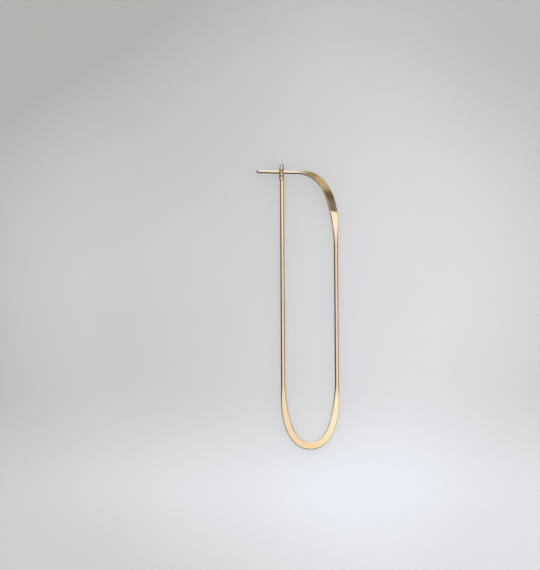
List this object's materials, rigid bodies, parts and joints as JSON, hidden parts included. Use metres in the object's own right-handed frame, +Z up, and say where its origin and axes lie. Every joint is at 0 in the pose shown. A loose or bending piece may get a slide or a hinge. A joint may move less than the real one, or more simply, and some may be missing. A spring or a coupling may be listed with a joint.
{
  "type": "oval hoop earring",
  "caption": "Long oval hoop earring of one forged wire: a post springs into a folded eye, with a ribbon-like shoulder and a flattened bend.",
  "frame": {"origin": "under the middle of the bounding box, on the surface that the earring lies on", "axes": "+Y along the hoop towards its ear post, +X towards its shoulder, +Z up from the surface"},
  "size_m": [0.0198, 0.0692, 0.0031],
  "materials": {
    "gold": "polished, lightly planished gold-filled wire"
  },
  "bodies": {
    "root": {"hoop_wire": "gold"}
  },
  "joints": []
}
